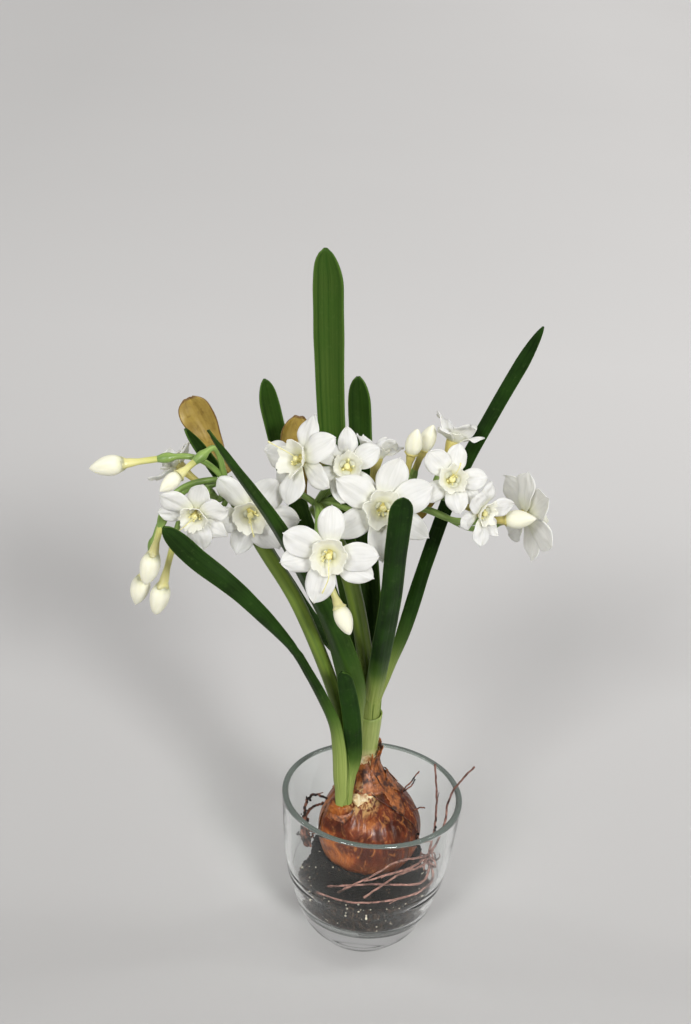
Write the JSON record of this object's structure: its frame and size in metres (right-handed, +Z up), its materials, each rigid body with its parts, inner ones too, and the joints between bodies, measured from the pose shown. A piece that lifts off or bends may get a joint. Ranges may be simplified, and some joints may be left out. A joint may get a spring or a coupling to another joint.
{
  "type": "narcissus in a glass vase",
  "caption": "Paperwhite narcissus in flower, growing from its bulb on a plug of dark soil in a clear tapered glass vase, with strap leaves, umbels of white blooms, buds and dry bracts.",
  "frame": {"origin": "middle of the flat foot of the glass, on the surface that it stands on", "axes": "+Z up the axis of the glass, -Y the front, from where the blooms face the viewer, +X to the viewer's right"},
  "size_m": [0.2127, 0.0989, 0.3542],
  "materials": {
    "clear_glass": "clear and polished",
    "dark_soil": "crumbly and matt",
    "bulb_skin": "papery with a slight gloss",
    "pale_green": "smooth",
    "leaf_green": "smooth with fine stripes",
    "stem_green": "smooth",
    "bract_brown": "dry and papery",
    "petal_white": "soft and slightly translucent",
    "bud_cream": "soft",
    "dry_root": "dry and rough"
  },
  "bodies": {
    "root": {"bloom_left_back": "petal_white", "bloom_left_front": "petal_white", "bloom_left_large": "petal_white", "bloom_middle_back": "petal_white", "bloom_middle_front": "petal_white", "bloom_middle_large": "petal_white", "bloom_middle_side": "petal_white", "bloom_middle_upper": "petal_white", "bloom_right_back": "petal_white", "bloom_right_lower": "petal_white", "bloom_right_side": "petal_white", "bloom_right_upper": "petal_white", "bract_left": "bract_brown", "bract_middle": "bract_brown", "bract_right": "bract_brown", "bud_hanging_inner": "bud_cream", "bud_hanging_low": "bud_cream", "bud_hanging_outer": "bud_cream", "bud_left_far": "bud_cream", "bud_left_near": "bud_cream", "bud_left_small": "bud_cream", "bud_middle_front": "bud_cream", "bud_right_side": "bud_cream", "bud_right_upper": "bud_cream", "bud_right_upper_back": "bud_cream", "bulb": "bulb_skin", "glass": "clear_glass", "leaf_back_left": "leaf_green", "leaf_back_right": "leaf_green", "leaf_crossing": "leaf_green", "leaf_front": "leaf_green", "leaf_left_slim": "leaf_green", "leaf_low_left": "leaf_green", "leaf_right": "leaf_green", "leaf_short": "leaf_green", "leaf_tall": "leaf_green", "neck_sheath": "pale_green", "roots_left": "dry_root", "roots_right": "dry_root", "soil": "dark_soil", "umbel_left": "stem_green", "umbel_middle": "stem_green", "umbel_right": "stem_green"}
  },
  "joints": []
}
